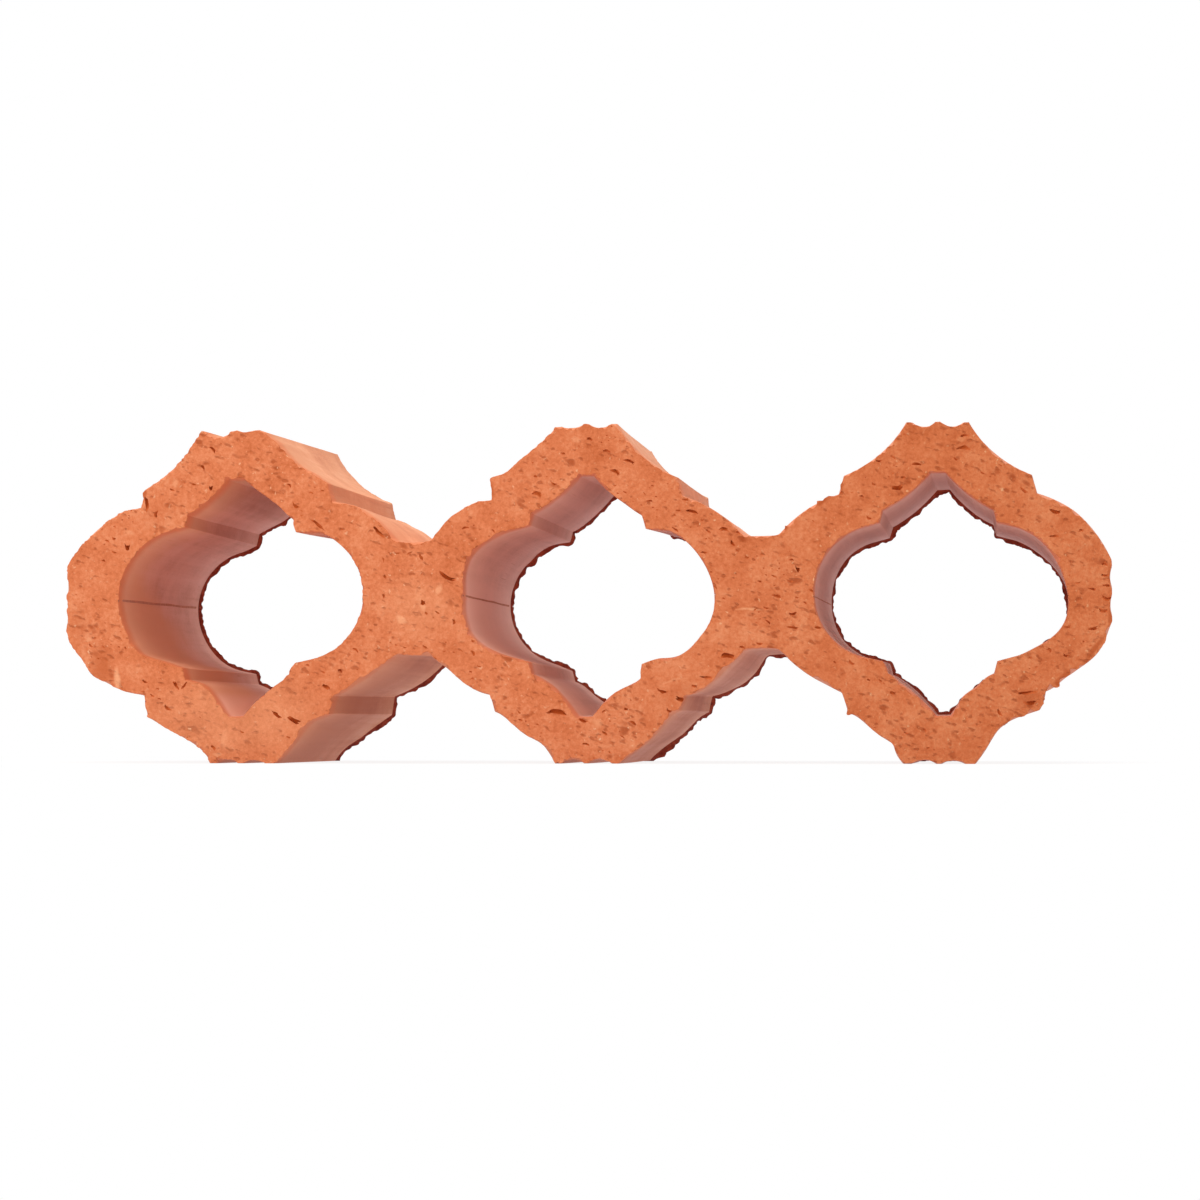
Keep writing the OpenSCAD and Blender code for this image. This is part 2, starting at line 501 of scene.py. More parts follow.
# the order of the block's materials
clays = ("outerSkin", "cutClay", "pitClay", "lipClay", "innerSkin", "seamClay")


# closed runs of points round the front face, taken off the CAD node
def traceFront():
    mesh = bmesh.new()
    mesh.from_mesh(node.data)
    mesh.transform(node.matrix_world)
    bmesh.ops.remove_doubles(mesh, verts=mesh.verts, dist=blockShape["weld"])
    front = [f for f in mesh.faces if f.normal.y < -0.99 and f.calc_center_median().y < low.y + mm]
    counts = {}
    for face in front:
        for corner in face.loops:
            counts.setdefault(corner.edge.index, []).append(corner)
    after = {}
    for corners in counts.values():
        if len(corners) == 1:
            after[corners[0].vert.index] = corners[0].link_loop_next.vert.index
    mesh.verts.ensure_lookup_table()
    runs = []
    while after:
        first = min(after)
        run, here = [], first
        while here in after:
            run.append(Vector((mesh.verts[here].co.x, mesh.verts[here].co.z)))
            here = after.pop(here)
        runs.append(run)
    mesh.free()
    return runs


# angle by which a closed run turns at one of its points
def turnAt(run, i):
    into = run[i] - run[i - 1]
    away = run[(i + 1) % len(run)] - run[i]
    return math.atan2(into.x * away.y - into.y * away.x, into.dot(away))


# halves the long chords; the middle of an arc's chord goes back out onto the arc
def halveChords(run):
    turns = [turnAt(run, i) for i in range(len(run))]
    made = []
    for i, here in enumerate(run):
        made.append(here)
        there = run[(i + 1) % len(run)]
        chord = there - here
        if chord.length < blockShape["longestStep"]:
            continue
        soft = [t for t in (turns[i], turns[(i + 1) % len(run)]) if abs(t) < blockShape["softTurn"]]
        turn = min(soft, key=abs) if soft else 0.0
        across = Vector((-chord.y, chord.x))
        made.append((here + there) / 2 - across * math.tan(turn / 4) / 2)
    return made


# the die leaves its corners a little round
def roundCorners(run):
    made = []
    for i, here in enumerate(run):
        turn = abs(turnAt(run, i))
        if turn < blockShape["softTurn"]:
            made.append(here)
            continue
        before, after = run[i - 1] - here, run[(i + 1) % len(run)] - here
        trim = min(blockShape["cornerRadius"] * math.tan(turn / 2),
                   blockShape["cornerReach"] * before.length,
                   blockShape["cornerReach"] * after.length)
        start, end = here + before.normalized() * trim, here + after.normalized() * trim
        for share in (0, 1 / 3, 2 / 3, 1):
            made.append(start.lerp(here, share).lerp(here.lerp(end, share), share))
    return made


def fineOutline():
    runs = traceFront()
    for _ in range(blockShape["halvings"]):
        runs = [halveChords(run) for run in runs]
    runs = sorted((roundCorners(run) for run in runs), key=len, reverse=True)
    print("outline:", [len(run) for run in runs])
    return runs


# the outline as a mesh of edges; each point knows which way is out of the clay, how much of a
# lip the wire drags out there at the back, whether it is inside an opening and whether it is on
# the short step below a nib
def outlineObject(runs):
    points, edges, outward, marks = [], [], [], []
    for run in runs:
        start = len(points)
        count = len(run)
        inner = run is not runs[0]
        for i, here in enumerate(run):
            along = (run[(i + 1) % count] - here).normalized() + (here - run[i - 1]).normalized()
            along.normalize()
            points.append((here.x, low.y, here.y))
            outward.append((along.y, 0.0, -along.x))
            edges.append((start + i, start + (i + 1) % count))
            fullLip = inner or along.x > blockShape["underside"]
            atNib = abs(here.y - middle.z) > blockShape["nibsFrom"]
            nibStep = atNib and abs(along.y) > blockShape["steep"]
            marks.append((1.0 if fullLip else blockShape["topLip"], float(inner), float(nibStep)))
    mesh = bpy.data.meshes.new("clayBlock")
    mesh.from_pydata(points, edges, [])
    markNames = ("lip", "inner", "nibStep")
    mesh.attributes.new("outward", "FLOAT_VECTOR", "POINT")
    for name in markNames:
        mesh.attributes.new(name, "FLOAT", "POINT")
    for i, way in enumerate(outward):
        mesh.attributes["outward"].data[i].vector = way
        for name, value in zip(markNames, marks[i]):
            mesh.attributes[name].data[i].value = value
    return addObject("clayBlock", mesh)


# pushes the outline through the depth, row by row
def pushThrough(piece):
    rows = [*blockShape["frontRows"], *blockShape["middleRows"], *blockShape["backRows"]]
    makeActive(piece)
    bpy.ops.object.mode_set(mode="EDIT")
    bpy.ops.mesh.select_mode(type="EDGE")
    bpy.ops.mesh.select_all(action="SELECT")
    for before, after in zip(rows, rows[1:]):
        bpy.ops.mesh.extrude_region_move(
            TRANSFORM_OT_translate={"value": (0, (after - before) * mm, 0)})
    bpy.ops.object.mode_set(mode="OBJECT")


# selects the edges that pass a test, in edit mode
def selectEdges(piece, passes):
    bpy.ops.mesh.select_mode(type="EDGE")
    bpy.ops.mesh.select_all(action="DESELECT")
    body = bmesh.from_edit_mesh(piece.data)
    for edge in body.edges:
        edge.select = passes(edge)
    body.select_flush_mode()
    bmesh.update_edit_mesh(piece.data)


def closeEnds(piece):
    makeActive(piece)
    bpy.ops.object.mode_set(mode="EDIT")
    for endY in (low.y, high.y):
        selectEdges(piece, lambda edge: all(abs(v.co.y - endY) < hair for v in edge.verts))
        bpy.ops.mesh.fill(use_beauty=True)
    bpy.ops.mesh.select_all(action="SELECT")
    bpy.ops.mesh.normals_make_consistent(inside=False)
    bpy.ops.object.mode_set(mode="OBJECT")


edgeLook = {
    "softness": 0.14 * mm,        # how far every front edge is worn in
    "frontReach": 1.6 * mm,       # how far back that goes
    "nibble": 1.5 * mm,
    "nibbleSizes": (1.5 * mm, 0.8 * mm),
    "wildSize": 17 * mm,          # how long the stretches are that are nibbled more
    "wildLevels": (0.45, 2.0),    # least nibbling, and how much more there is of it there
    "chip": 1.3 * mm,
    "chipSize": 4.0 * mm,
    "chipFrom": 0.34,             # of its noise, so that chips are rare
    "burr": 1.25 * mm,            # lip that the wire drags out at the back
    "burrReach": 1.5 * mm,        # how far forward it begins
    "burrSizes": (3.4 * mm, 1.3 * mm),
    "burrLevels": (0.75, 0.6, 0.45),          # the even lip, its coarse and its fine unevenness
    "burrRange": (-0.3, 1.15),
    # lumps that hang in it, in mm on the die's shape: x, z, size and reach
    "lumps": ((-29, 63, 2.0, 2.2), (85, 71, 1.6, 3.0), (98, 83, 1.2, 3.5), (86, 27, 1.7, 3.0),
              (15, 4, 2.3, 4.0), (-76, 13, 1.0, 3.0), (29, 19, 1.2, 3.0), (68, 42, 0.8, 3.0),
              (11, 3.2, 1.6, 3.2)),
    # crumbs that stick out at the front, placed on the finished shape
    "crumbs": ((58.5, 67, 1.0, 1.6), (67.5, 73.5, 1.1, 1.6), (70.5, 75, 0.9, 1.6), (75, 78, 0.9, 1.7),
               (135, 22, 1.2, 1.8), (83.5, 11.5, 0.8, 1.8), (76, 14, 0.8, 1.7), (-127.5, 78, 0.8, 1.8),
               (130.5, 17.5, 0.7, 1.6), (125, 13, 0.7, 1.6), (147, 34.5, 0.6, 2.0)),
    "wave": 0.35 * mm,            # slow unevenness of the pushed walls
    "waveSizes": (40 * mm, 60 * mm),          # across and along the depth
    "seed": 7.3,
}


def ragged(x, z, size, seed):
    return noise.noise(Vector((x / size, z / size, seed)))


# how far the lumps of a list stand out at a place
def lumpSum(x, z, lumps):
    out = 0.0
    for lumpX, lumpZ, size, reach in lumps:
        out += size * mm * max(0.0, 1 - math.hypot(x / mm - lumpX, z / mm - lumpZ) / reach)
    return out


# how far out of the clay a point of the wall moves
def edgeMove(x, depth, z, lip):
    seed = edgeLook["seed"]
    across, along = edgeLook["waveSizes"]
    move = edgeLook["wave"] * noise.noise(Vector((x / across, depth / along, z / across + seed)))
    front = max(0.0, 1 - depth / edgeLook["frontReach"])
    if front:
        least, more = edgeLook["wildLevels"]
        wild = least + more * max(0.0, ragged(x, z, edgeLook["wildSize"], seed + 2))
        coarse, fine = edgeLook["nibbleSizes"]
        bites = max(0.0, ragged(x, z, coarse, seed)) + 0.5 * max(0.0, ragged(x, z, fine, seed + 4))
        chips = max(0.0, ragged(x, z, edgeLook["chipSize"], seed + 9) - edgeLook["chipFrom"])
        move -= front ** 2 * edgeLook["softness"] + front * edgeLook["nibble"] * bites * wild
        move -= front ** 0.6 * edgeLook["chip"] * chips / (1 - edgeLook["chipFrom"])
        place = Vector((x, 0, z)) + dragMove(x, depth, z)
        move += front * lumpSum(place.x, place.z, edgeLook["crumbs"])
    back = max(0.0, 1 - (blockDepth - depth) / edgeLook["burrReach"])
    if back:
        coarse, fine = edgeLook["burrSizes"]
        even, coarseLevel, fineLevel = edgeLook["burrLevels"]
        size = even + coarseLevel * ragged(x, z, coarse, seed + 20)
        size += fineLevel * ragged(x, z, fine, seed + 30)
        least, most = edgeLook["burrRange"]
        move += back ** 1.5 * edgeLook["burr"] * lip * max(least, min(most, size))
        move += back * lumpSum(x, z, edgeLook["lumps"])
    return move


# Where soft clay was dragged out of the die's shape before it was dry
dragLook = {
    "shift": 1.5,                 # mm that the cells stand right of the middle
    "endFade": 12,                # mm over which that dies out at the ends
    "bedFade": 9,                 # mm over which the back's lift dies out at the beds
    "backLift": (0.35, 1.05),     # mm that the back stands higher: in the middle, more per 100 mm
    # places on the show face, all in mm: x, z, how far right, how far up, and the reach
    "front": (
        (-107, 93, -3.3, -0.8, 24), (-90.5, 97, -0.6, -1.6, 4.5), (-94, 97, -0.8, 0.4, 5),
        (-104, 97, 0, -1.0, 6), (-127.5, 78, -1.9, -2.4, 11), (-109, 76, -0.6, 0, 9),
        (-135, 47, -0.8, 0, 14), (-141, 30, -2.6, -2.9, 18), (-122, 13, -1.4, -2.6, 17),
        (-101, 17, -1.6, -1.5, 13), (-84, 69, -0.8, -1.6, 8), (-118, 28, -0.6, -1.5, 10),
        (-84.5, 26, -1.7, 0, 5), (-85, 87, 0, -1.5, 12), (-73, 79, -1.5, -1.2, 9),
        (-50, 32.5, 0, -1.8, 14), (-73, 18, -0.5, -1.5, 13), (-88, 6, 1.8, -1.0, 12),
        (-50, 64.5, 0, -1.0, 12), (-38, 71, 0, 0.3, 9), (-8.5, 97, 0, -0.9, 5),
        (-16, 86.5, -1.6, 0, 10), (0, 15, -0.3, -1.4, 13), (34, 42, 1.7, -0.6, 20),
        (28, 31, 0, -1.2, 8), (17, 28, -1.0, 0, 5), (16, 68, 0.4, -1.4, 9),
        (14, 24, 0.5, -1.3, 10), (15, 9, 3.0, -1.8, 14), (30, 23, 0.8, -1.8, 12),
        (-27, 19, 0.2, -1.0, 10), (-33, 25, 0, -1.3, 9), (-19, 10, -0.5, -2.0, 9),
        (100, 98, 0, -0.6, 22), (101, 98, 0, 0.5, 4), (135, 44, 1.4, -2.0, 16),
        (140, 70, -0.1, 0.2, 16), (127, 19, 2.2, -0.5, 11), (100, 15, 1.4, -1.3, 12),
        (74, 17, 0.9, -1.4, 9), (82, 10, -0.3, -1.8, 9), (84.5, 26, 1.4, 0, 6),
        (110, 4, 1.4, -0.5, 10), (90, 2, -1.6, 0, 6), (143, 33, 1.0, -0.5, 9),
        (-128, 33, -0.8, -1.6, 8), (-33, 60, -1.3, 0.2, 12), (-32, 36, -1.4, -0.5, 12),
        (-149.2, 52.4, -0.7, 0, 3.5), (-149.2, 44.6, -0.7, 0, 3.5), (-27.9, 76.2, 0.6, -0.9, 4),
        (-26.5, 81.5, -1.0, 0.1, 3.5), (-144.3, 32, 0.8, 0.7, 6), (-133, 23, -0.2, -0.8, 6),
        (109.5, 22.5, 0.3, -0.8, 5),
    ),
    # and the same for the back
    "back": (
        (-124, 29, 0, -1.0, 20), (-78, 68, 0, 2.0, 10), (-81, 10, 1.4, -1.2, 16),
        (-4, 80, 0, 1.3, 16), (20, 69, 0, 1.9, 12), (15, 9, 3.2, -1.4, 18),
        (34, 22, 0.6, -1.6, 16), (24, 90, 1.2, 0, 12), (98, 80, 0.3, 0.6, 18), (-113, 71, 0, 1.3, 10),
        (-22, 67, 0, 1.0, 10), (-15, 28, 0.8, -1.2, 8), (-7, 22, -0.3, -1.0, 8),
        (41, 27.5, 0.4, -0.8, 10), (133, 40, 0.9, -1.7, 10), (115, 27, 0.7, -1.3, 8),
        (68, 50, 0.8, 0, 16), (137, 46, 3.4, 0, 22), (100, 15, 0.3, -2.0, 18),
        (123, 28, 0.8, -1.8, 13), (110, 22, 0.3, -0.8, 7),
    ),
}


# how far right and up the listed places of one face drag a point
def dragSum(x, z, places):
    right = up = 0.0
    for placeX, placeZ, dragX, dragZ, reach in places:
        near = max(0.0, 1 - ((x - placeX) ** 2 + (z - placeZ) ** 2) / reach ** 2) ** 2
        right += dragX * near
        up += dragZ * near
    return Vector((right, 0, up))


# how far a point of the wall was dragged
def dragMove(x, depth, z):
    x, z = x / mm, z / mm
    behind = depth / blockDepth
    fromEnd = min(1.0, (high.x / mm - abs(x)) / dragLook["endFade"])
    fromBed = max(0.0, min(1.0, z / dragLook["bedFade"], (high.z / mm - z) / dragLook["bedFade"]))
    lift, slope = dragLook["backLift"]
    move = Vector((dragLook["shift"] * fromEnd, 0, behind * fromBed * (lift + slope * x / 100)))
    move += dragSum(x, z, dragLook["front"]) * (1 - behind)
    move += dragSum(x, z, dragLook["back"]) * behind * fromBed * fromEnd
    return move * mm


wearLook = {
    "passes": 40,
    "leastShare": 0.3,            # of its length that an edge of a row keeps
    "cutSkin": 0.5 * mm,          # how far back the front edge shows cut clay
    "lipSkin": 0.95 * mm,         # how far forward the lip is dark
}


# points that would pass their neighbour in the row move together with it
def evenMoves(mesh, moves):
    rows = []
    for edge in mesh.edges:
        start, end = edge.vertices
        along = mesh.vertices[end].co - mesh.vertices[start].co
        if abs(along.y) < hair:
            rows.append((start, end, along))
    for _ in range(wearLook["passes"]):
        for start, end, along in rows:
            after = along + moves[end] - moves[start]
            if after.dot(along) < wearLook["leastShare"] * along.length_squared:
                moves[start] = moves[end] = (moves[start] + moves[end]) / 2


def wearEdges(piece):
    mesh = piece.data
    outward = mesh.attributes["outward"].data
    lips = mesh.attributes["lip"].data
    moves = []
    for vert, way, lip in zip(mesh.vertices, outward, lips):
        x, depth, z = vert.co.x, vert.co.y - low.y, vert.co.z
        moves.append(Vector(way.vector) * edgeMove(x, depth, z, lip.value) + dragMove(x, depth, z))
    evenMoves(mesh, moves)
    for vert, move in zip(mesh.vertices, moves):
        place = vert.co + move
        for axis in (0, 2):
            place[axis] = min(high[axis], max(low[axis], place[axis]))
        vert.co = place


# gives each face of the worn block the clay that shows there
def sortFaces(piece):
    lips = piece.data.attributes["lip"].data
    inner = piece.data.attributes["inner"].data
    for face in piece.data.polygons:
        first = face.vertices[0]
        fromFront = face.center.y - low.y
        fromBack = high.y - face.center.y
        if fromFront < wearLook["cutSkin"] or fromBack < hair:
            clay = "cutClay"
        # dark lip clay only on inner edges and edges that face down: partly torn clay, partly painted
        # shade
        elif fromBack < wearLook["lipSkin"] and lips[first].value > 0.5:
            clay = "lipClay"
        else:
            clay = "innerSkin" if inner[first].value > 0.5 else "outerSkin"
        face.material_index = clays.index(clay)


# Pits that the wire tears open

pitLook = {
    "frontCount": 350,
    "backCount": 380,
    "frontSeed": 11,
    "backSeed": 23,
    "shortest": 0.55 * mm,
    "longest": 2.6 * mm,
    "turn": 19,                # degrees downhill to the right, along the drag of the wire
    "turnSpread": 15,
    "tilt": 9,                 # degrees that one end may lie deeper than the other
    "widths": (0.28, 0.5),     # of a pit that is 1 mm long; a longer one is slimmer
    "knownWidths": (0.38, 0.66),              # and the same for the known tears
    "depths": (0.4, 0.65),     # shares of the width
    "apart": 0.6,              # least distance, as a share of the two lengths together
    "crowded": 0.4,            # share of the pits that are scattered about the one before
    "crowdSpread": (2.6 * mm, 1.8 * mm),
    "kinds": 8,
    "dent": 0.7,               # how far a lump is pushed out of shape, and how finely
    "dentFineness": 1.7,
    "bend": 1.1,               # some are bent up or down by this much
    # round spots of the show face: x, z and width
    "round": ((-132, 62.5, 1.7), (-45.5, 46, 1.5), (-107.5, 79.5, 1.3), (62, 55, 1.3)),
    # and its larger tears, read off the photo: x, z, length and turn
    "known": (
        (-126.5, 75, 5, 84), (-123.5, 72, 2.6, -80), (-136, 65, 1.4, 20), (-139, 58.5, 1.4, 20),
        (-107, 90.5, 2.8, 50), (-110, 85.5, 2, 40), (-119, 79, 1.6, 20), (-112.5, 80.5, 1.4, 20),
        (-84.5, 80, 1.6, 45), (-82.5, 74, 2.4, 30), (-76, 68.5, 5, 40), (-58.5, 66.5, 4.8, 45),
        (-57, 58.5, 1.5, 70), (-56.5, 53.5, 1.5, 60), (-57, 48, 1.5, 60), (-65, 32.5, 2.4, 35),
        (-69.5, 26.5, 1.6, 40), (-73.5, 22, 3, 30), (-83, 12.5, 5, 30), (-88, 14, 3.4, 38),
        (-80, 9, 2.2, 40), (-84.5, 7.5, 1.8, 15), (-117.5, 22.5, 3, 55), (-115, 22.5, 2.8, -50),
        (-124.5, 19.5, 1.6, 30), (-120, 16, 3.2, 40), (-98, 9, 1.4, 20), (-106.5, 4.5, 2.2, 40),
        (-38.5, 53.5, 6, 28), (-46, 59, 2, 60), (-36.5, 40.5, 1.8, 75), (-44.5, 43, 1.2, 40),
        (-31, 31.5, 2.2, 60), (-31, 35, 1.2, 30), (7.5, 89, 2.6, 12), (14, 86, 3.8, 22),
        (10, 83, 3.2, 36), (-12.5, 77, 3.2, 15), (-13, 82, 1.3, 20), (2.5, 92.5, 2, 10),
        (-5, 88.5, 1.6, 10), (30, 75, 2.2, 5), (32, 71.5, 4.4, 15), (36.5, 66, 1.9, 35),
        (41, 66.5, 2.8, 10), (45, 65.5, 1.8, 20), (43.5, 62.5, 2.4, 55), (47.5, 58.5, 1.4, 20),
        (-6.5, 14.5, 6.4, 10), (0.5, 12.5, 3.2, 35), (1.5, 5.5, 2.4, 10), (15, 11.5, 3, 30),
        (13, 15.5, 1.4, 20), (23.5, 20.5, 3, 12), (29, 18.5, 5, 9), (32.5, 22, 2.2, 10),
        (36, 24.5, 3.8, 5), (25.5, 15, 2.4, 25), (42, 30.5, 4.6, 12), (46, 33, 2, 10),
        (51, 34, 2, 10), (95.5, 84.5, 3.4, 2), (90, 78, 3.6, 3), (109, 89, 4, 8),
        (109, 92.5, 2.8, -10), (106.5, 86, 1.7, 45), (114, 82, 1.6, 30), (125.5, 77, 3.2, 45),
        (134.5, 71, 4, 8), (134, 64, 3, 0), (141.5, 65.5, 1.6, 15), (82, 69.5, 1.8, 30),
        (66, 49, 2.2, 20), (56, 47.5, 2.6, 15), (64, 45.5, 1.4, 30), (60.5, 42.5, 2.4, -8),
        (60.5, 38.5, 3.4, 8), (67.5, 38.5, 2.6, 8), (137.5, 38.5, 2.4, 5), (144.5, 38, 3.4, -5),
        (132.5, 32, 1.6, 30), (137, 30.5, 1.8, 20), (144.5, 49, 2.2, 8), (148, 56, 2, 8),
        (148, 53, 3, 6), (148.5, 50, 2.4, 5), (148.5, 46.5, 3, 8), (147.5, 43, 2.8, 0),
        (126, 20, 5.8, -6), (127, 17.3, 4, -4), (118.5, 14.5, 3, 60), (97.5, 9.5, 1.6, 40),
        (88.5, 20, 2.4, 10), (81, 29.5, 2.2, 35), (77, 28.5, 2.2, 30), (98.5, 4.5, 1.2, 0),
    ),
}


# is there cut clay at this place of the front (side -1) or the back (side 1)
def onClay(x, z, side):
    hit, place, *_ = node.ray_cast(Vector((x, side, z)), Vector((0, -side, 0)))
    return hit and abs(place.y - side * high.y) < hair


# each pit has a place, a length, a width and a turn
def scatterPits(side, count, seed):
    draw = random.Random(seed)
    pits = []
    if side < 0:
        pits = [(x * mm, z * mm, width * mm, width * mm, 0) for x, z, width in pitLook["round"]]
        for x, z, length, turn in pitLook["known"]:
            width = math.sqrt(length) * draw.uniform(*pitLook["knownWidths"])
            pits.append((x * mm, z * mm, length * mm, width * mm, turn))
    spreadX, spreadZ = pitLook["crowdSpread"]
    while len(pits) < count:
        length = pitLook["shortest"] + (pitLook["longest"] - pitLook["shortest"]) * draw.random() ** 3
        turn = draw.gauss(pitLook["turn"], pitLook["turnSpread"])
        x, z = draw.uniform(low.x, high.x), draw.uniform(low.z, high.z)
        if pits and draw.random() < pitLook["crowded"]:
            x = draw.gauss(pits[-1][0], spreadX)
            z = draw.gauss(pits[-1][1], spreadZ)
        if onClay(x, z, side) and all(math.hypot(x - p[0], z - p[1]) > pitLook["apart"] * (length + p[2])
                                      for p in pits):
            width = math.sqrt(length * mm) * draw.uniform(*pitLook["widths"])
            pits.append((x, z, length, width, turn))
    return pits


# round lumps, pushed out of shape, that the pits are cut with
def lumpKinds():
    kinds = []
    for seed in range(pitLook["kinds"]):
        deselect()
        bpy.ops.mesh.primitive_ico_sphere_add(subdivisions=2, radius=1)
        lump = bpy.context.object
        bend = (seed % 3 - 1) * pitLook["bend"]
        for vert in lump.data.vertices:
            place = vert.co * pitLook["dentFineness"] + Vector((seed * 9.1, 3, 1))
            vert.co *= 1 + pitLook["dent"] * noise.noise(place)
            vert.co.z += bend * (vert.co.x ** 2 - 0.4)
        kinds.append(lump)
    return kinds


def pitCutter(kinds, side, pits, seed):
    draw = random.Random(seed)
    lumps = bmesh.new()
    for x, z, length, width, turn in pits:
        depth = width * draw.uniform(*pitLook["depths"])
        tilt = Matrix.Rotation(math.radians(draw.uniform(-pitLook["tilt"], pitLook["tilt"])), 4, "Z")
        spin = Matrix.Rotation(math.radians(turn), 4, "Y")
        flip = Matrix.Rotation(math.radians(draw.choice((0, 180))), 4, draw.choice("XYZ"))
        size = Matrix.Diagonal((length / 2, depth, width / 2, 1))
        place = Matrix.Translation((x, side * high.y, z))
        before = len(lumps.verts)
        lumps.from_mesh(draw.choice(kinds).data)
        lumps.verts.ensure_lookup_table()
        bmesh.ops.transform(lumps, matrix=place @ spin @ tilt @ size @ flip, verts=lumps.verts[before:])
    for face in lumps.faces:
        face.material_index = clays.index("pitClay")
    mesh = bpy.data.meshes.new("pits")
    lumps.to_mesh(mesh)
    lumps.free()
    return addObject("pits", mesh)


# The hairline seam along the middle of each side wall of an opening

seamLook = {
    "depth": 0.11 * mm,
    # for each cell: how far below the middle it starts at the front, and its width
    "cells": ((1.5 * mm, 0.8 * mm), (0.5 * mm, 0.65 * mm), (1.2 * mm, 0.4 * mm)),
    "wander": 0.16 * mm,
    "wanderSize": 20 * mm,        # how far apart its turns are along the depth
    "cuts": 18,                   # points along it
    "overhang": 1 * mm,           # how far the cutter sticks out at the front and the back
}


def seamCutter(x, outward, drop, width, seed):
    deselect()
    bpy.ops.mesh.primitive_cylinder_add(vertices=4, radius=1,
                                        depth=blockDepth + 2 * seamLook["overhang"])
    seam = bpy.context.object
    bpy.ops.transform.resize(value=(seamLook["depth"], width / 2, 1))
    bpy.ops.transform.rotate(value=math.radians(90), orient_axis="X",
                             center_override=(0, 0, 0))
    bpy.ops.object.transform_apply(location=False, rotation=True, scale=True)
    bpy.ops.object.mode_set(mode="EDIT")
    selectEdges(seam, lambda edge: abs(edge.verts[0].co.y - edge.verts[1].co.y) > mm)
    bpy.ops.mesh.subdivide(number_cuts=seamLook["cuts"])
    bpy.ops.object.mode_set(mode="OBJECT")
    for vert in seam.data.vertices:
        share = (high.y - vert.co.y) / blockDepth
        way = Vector((vert.co.y / seamLook["wanderSize"], seed, 0))
        vert.co.z += middle.z - drop * share + seamLook["wander"] * noise.noise(way)
        depth = min(max(vert.co.y - low.y, 0.0), blockDepth)
        drag = dragMove(x, depth, middle.z)
        vert.co.x += x + outward * edgeMove(x, depth, middle.z, 1.0) + drag.x
    for face in seam.data.polygons:
        face.material_index = clays.index("seamClay")
    return seam


def cutAway(piece, cutter):
    for material in piece.data.materials:
        cutter.data.materials.append(material)
    makeActive(piece)
    cut = piece.modifiers.new("cut", "BOOLEAN")
    cut.operation = "DIFFERENCE"
    cut.solver = "MANIFOLD"
    cut.object = cutter
    bpy.ops.object.modifier_apply(modifier=cut.name)
    bpy.data.objects.remove(cutter)


def buildBlock():
    runs = fineOutline()
    piece = outlineObject(runs)
    pushThrough(piece)
    wearEdges(piece)
    closeEnds(piece)
    for material in (dieSkin("outerSkin"), cutClay(), pitClay(), roughClay("lipClay"),
                     dieSkin("innerSkin"), roughClay("seamClay")):
        piece.data.materials.append(material)
    sortFaces(piece)
    print("walls:", len(piece.data.polygons))
    openings = sorted(runs[1:], key=lambda run: run[0].x)
    for seed, (run, (drop, width)) in enumerate(zip(openings, seamLook["cells"])):
        cutAway(piece, seamCutter(min(p.x for p in run), 1, drop, width, seed))
        cutAway(piece, seamCutter(max(p.x for p in run), -1, drop, width, seed + 0.5))
    print("seams cut:", len(piece.data.polygons))
    kinds = lumpKinds()
    for side, count, seed in ((-1, pitLook["frontCount"], pitLook["frontSeed"]),
                              (1, pitLook["backCount"], pitLook["backSeed"])):
        cutAway(piece, pitCutter(kinds, side, scatterPits(side, count, seed), seed + 1))
        print("pits cut:", len(piece.data.polygons))
    for lump in kinds:
        bpy.data.objects.remove(lump)
    makeActive(piece)
    bpy.ops.object.shade_smooth_by_angle(angle=blockShape["smoothBelow"])
    print("triangles:", sum(len(face.vertices) - 2 for face in piece.data.polygons))
    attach(piece, "root")
    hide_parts("block")


# Floor, light and camera

studio = {
    "floorSize": 8.0,
    "floorDrop": 0.02 * mm,
    "floorColour": paint(196, 196, 196),
    "floorRoughness": 0.9,
    "floorShine": 0.1,
    "floorGlow": 0.43,
    "floorBounce": (0.65, 0.72, 1.0, 1.0),    # share of that glow that lights the block
    "fade": (0.0, 0.06),          # distance from the block over which the floor turns white
    "nearWhite": 0.75,            # how white it is beside the block
    "worldColour": (0.93, 0.985, 1.07, 1.0),
    "worldLevel": 0.70,
    "worldLean": (-0.12, 0.25, 0.0),          # it is a little brighter on the left and behind
    "lampColour": (1.0, 0.95, 0.88),
    "lampTarget": (0, 0, 0.05),
    "keyLamp": {"power": 6.0, "size": 0.8, "place": (-0.30, -0.90, 0.70)},
    "topLamp": {"power": 9.2, "size": 1.2, "place": (0.2, 0.0, 1.5)},
    "cameraPlace": (0.116, -1.040, 0.008),
    "lens": 105,                  # this and the sensor's width are in mm
    "sensor": 36,
}


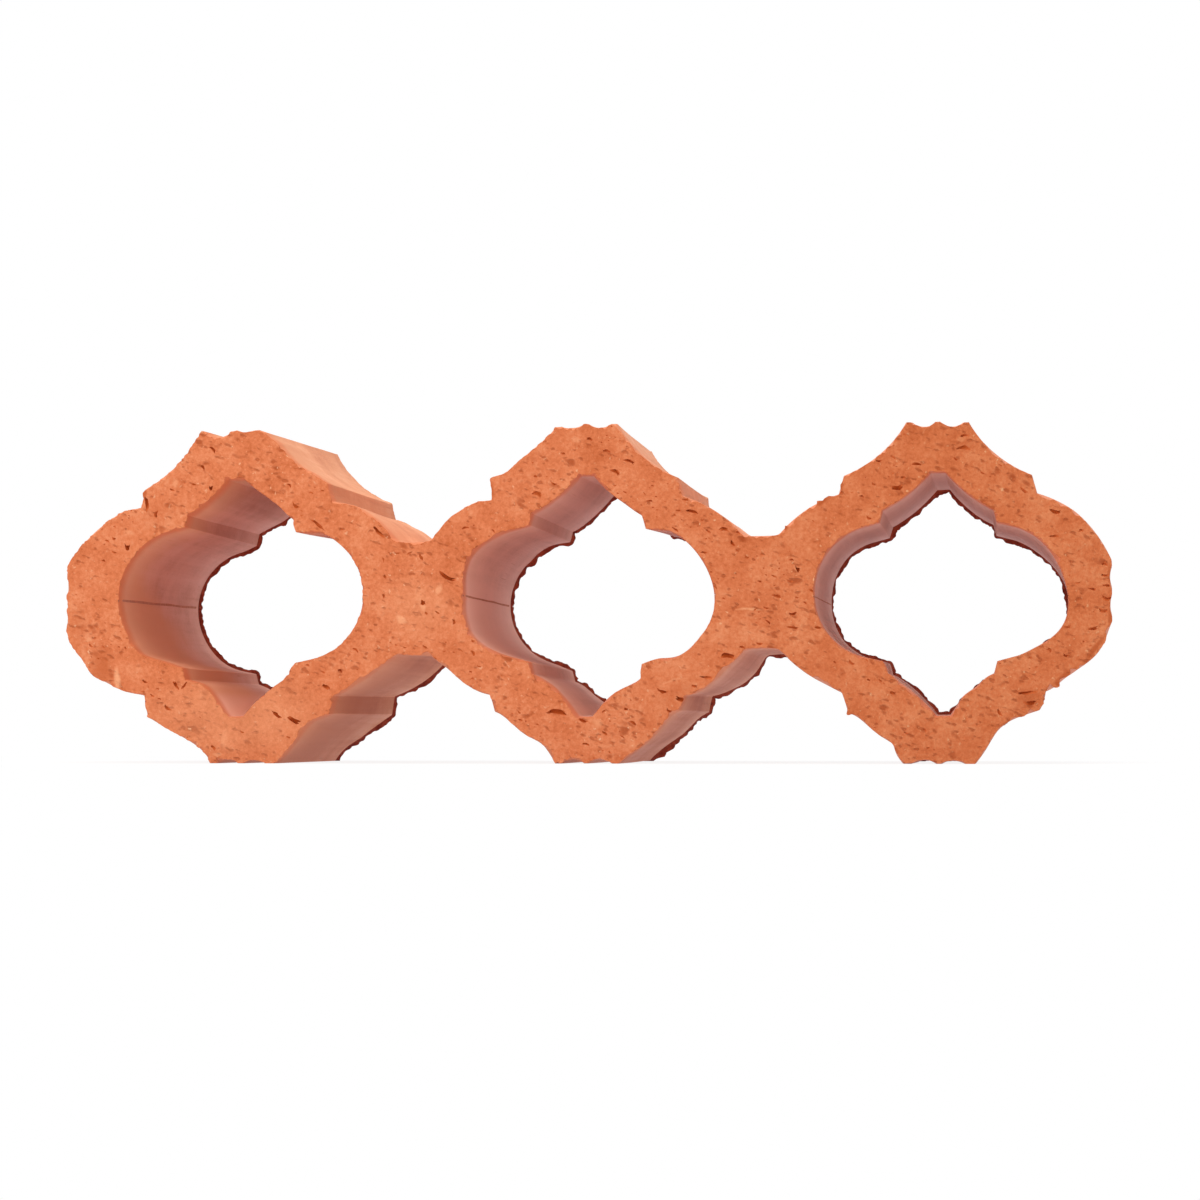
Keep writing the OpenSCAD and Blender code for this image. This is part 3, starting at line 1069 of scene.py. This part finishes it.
def layFloor():
    deselect()
    bpy.ops.mesh.primitive_plane_add(size=studio["floorSize"], location=(0, 0, -studio["floorDrop"]))
    floor = bpy.context.object
    floor.name = "floor"
    material, shader, coords = startMaterial("floorPaper", studio["floorShine"])
    shader.inputs["Base Color"].default_value = studio["floorColour"]
    shader.inputs["Roughness"].default_value = studio["floorRoughness"]
    shader.inputs["Emission Strength"].default_value = studio["floorGlow"]
    links = coords.tree.links
    seen = coords.add("LightPath")
    links.new(seen.between(studio["floorBounce"], white).socket, shader.inputs["Emission Color"])
    # how far a place is from the block, and how white the camera sees it there
    beyond = coords.vector("ABSOLUTE").vector("SUBTRACT", (high.x, high.y, 0))
    far = beyond.vector("MAXIMUM", (0, 0, 0)).length().step(*studio["fade"])
    pale = studio["nearWhite"] + far * (1 - studio["nearWhite"])
    backdrop = coords.add("Emission", None, {"Color": white, "Strength": 1.0})
    paper = Wire(coords.tree, shader.outputs[0])
    mix = coords.add("MixShader", None, {0: pale * seen, 1: paper, 2: backdrop})
    links.new(mix.socket, coords.tree.nodes["Material Output"].inputs["Surface"])
    floor.data.materials.append(material)


# white for the camera and in mirrors, and a soft light for the block
def lightWorld():
    world = bpy.data.worlds.new("studioWorld")
    world.use_nodes = True
    scene.world = world
    tree = world.node_tree
    tree.nodes.clear()
    path = Wire(tree).add("LightPath")
    direct = path.larger(path.output("Is Glossy Ray").larger(path.output("Is Transmission Ray")))
    lean = path.add("TexCoord").vector("DOT_PRODUCT", studio["worldLean"], out=1)
    soft = studio["worldLevel"] * (1 + lean)
    sky = path.add("Background", None, {"Color": direct.between(studio["worldColour"], white),
                                        "Strength": soft + direct * (1 - soft)})
    output = tree.nodes.new("ShaderNodeOutputWorld")
    tree.links.new(sky.socket, output.inputs["Surface"])


def aim(thing, place, target):
    thing.location = place
    thing.rotation_euler = (Vector(target) - Vector(place)).to_track_quat("-Z", "Y").to_euler()


def addLamp(name):
    look = studio[name]
    data = bpy.data.lights.new(name, "AREA")
    data.energy = look["power"]
    data.color = studio["lampColour"]
    data.size = look["size"]
    aim(addObject(name, data), look["place"], studio["lampTarget"])


def addCamera():
    data = bpy.data.cameras.new("camera")
    data.sensor_width = studio["sensor"]
    data.lens = studio["lens"]
    scene.camera = addObject("camera", data)
    aim(scene.camera, studio["cameraPlace"], middle)


buildBlock()
layFloor()
lightWorld()
addLamp("keyLamp")
addLamp("topLamp")
addCamera()
scene.view_settings.view_transform = "Standard"
print("floor, light and camera are set")
